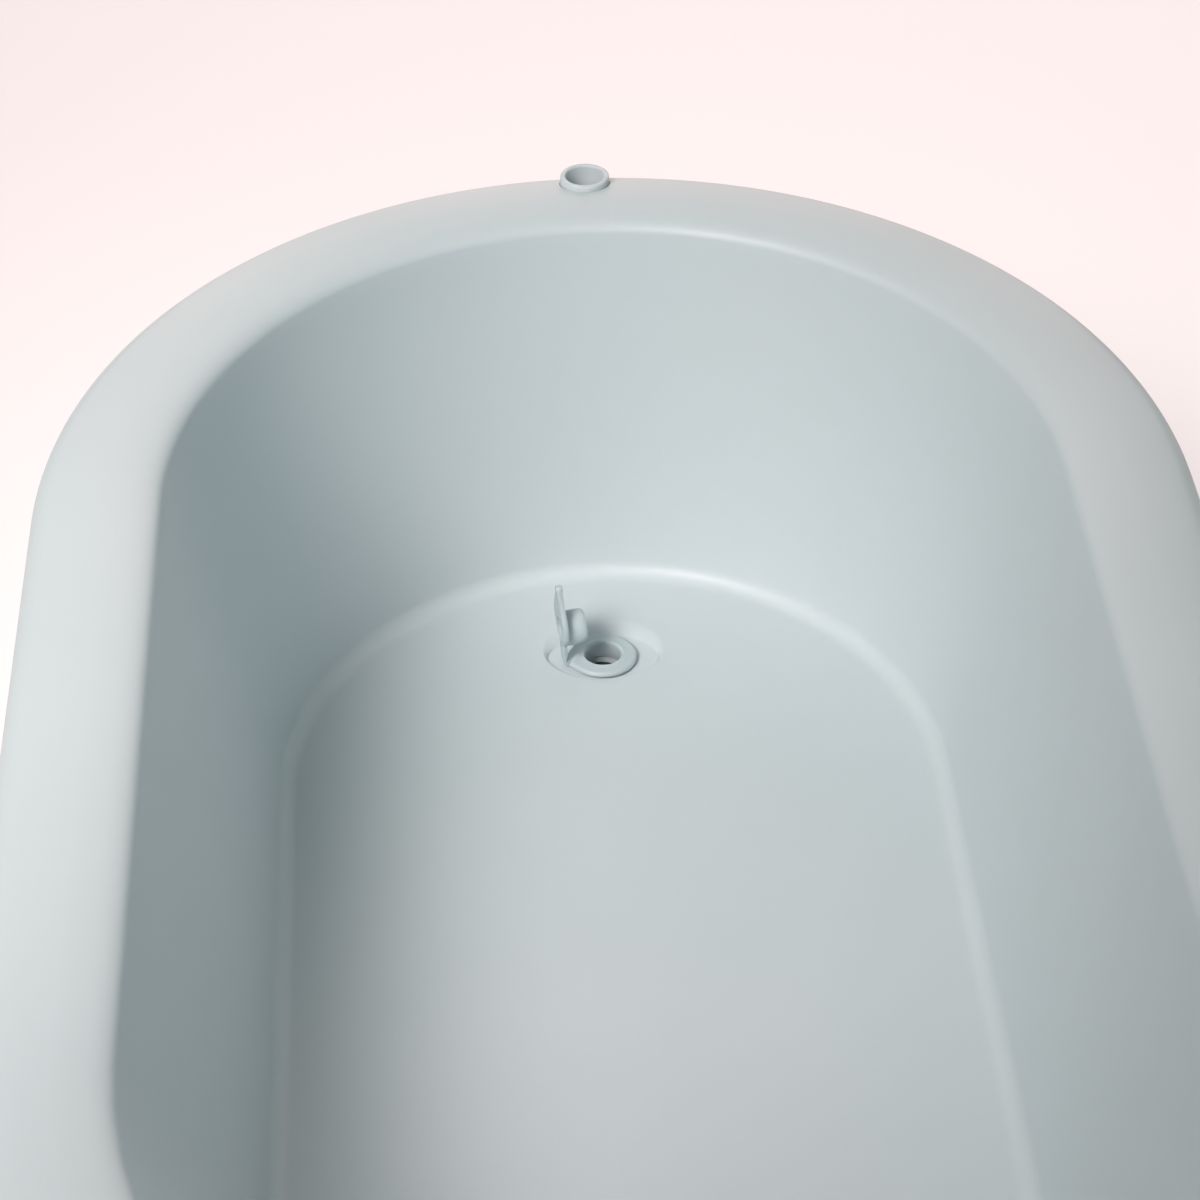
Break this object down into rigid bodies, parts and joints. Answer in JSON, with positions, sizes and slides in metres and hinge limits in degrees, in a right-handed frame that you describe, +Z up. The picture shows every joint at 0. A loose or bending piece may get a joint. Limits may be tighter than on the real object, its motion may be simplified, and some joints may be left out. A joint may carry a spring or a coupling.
{
  "type": "baby bathtub",
  "caption": "Long oval tub with a broad rolled rim, a plugged floor drain and a hose that stands in the rim, on oval feet.",
  "frame": {"origin": "on the ground, under the middle of the tub", "axes": "+Z up, +Y towards the drain end, +X to the right when looking towards the drain end"},
  "size_m": [0.5, 0.88, 0.2422],
  "materials": {
    "tub_plastic": "semi-matt moulded polypropylene",
    "fitting_plastic": "semi-matt moulded polypropylene",
    "plug_silicone": "satin silicone",
    "hose_plastic": "flexible polyethylene",
    "pad_rubber": "matt thermoplastic rubber",
    "gasket_rubber": "matt",
    "band_steel": "bright spring steel"
  },
  "bodies": {
    "tub": {"tub_shell": "tub_plastic", "foot_pad_drain_left": "pad_rubber", "foot_pad_drain_right": "pad_rubber", "foot_pad_head_left": "pad_rubber", "foot_pad_head_right": "pad_rubber", "drain_plug_ring": "plug_silicone", "drain_plug_strap": "plug_silicone", "drain_gasket": "gasket_rubber", "drain_elbow": "fitting_plastic", "drain_nut": "fitting_plastic", "drain_hose": "hose_plastic", "hose_clamp_lower": "band_steel"},
    "plug_cap": {"drain_plug_cap": "plug_silicone"},
    "hose_end": {"hose_end_sleeve": "fitting_plastic", "hose_clamp_upper": "band_steel"}
  },
  "joints": [
    {"name": "plug_swing", "type": "hinge", "parent": "tub", "child": "plug_cap", "pos_m": [-0.01748, 0.28763, 0.0516], "axis": [-0.1564, 0.9877, 0], "range_deg": [-70, 93], "deforming": ["drain_plug_strap"]},
    {"name": "hose_end_pull", "type": "slide", "parent": "tub", "child": "hose_end", "axis": [0, 0, -1], "range_m": [0, 0.03], "deforming": ["drain_hose"]}
  ]
}
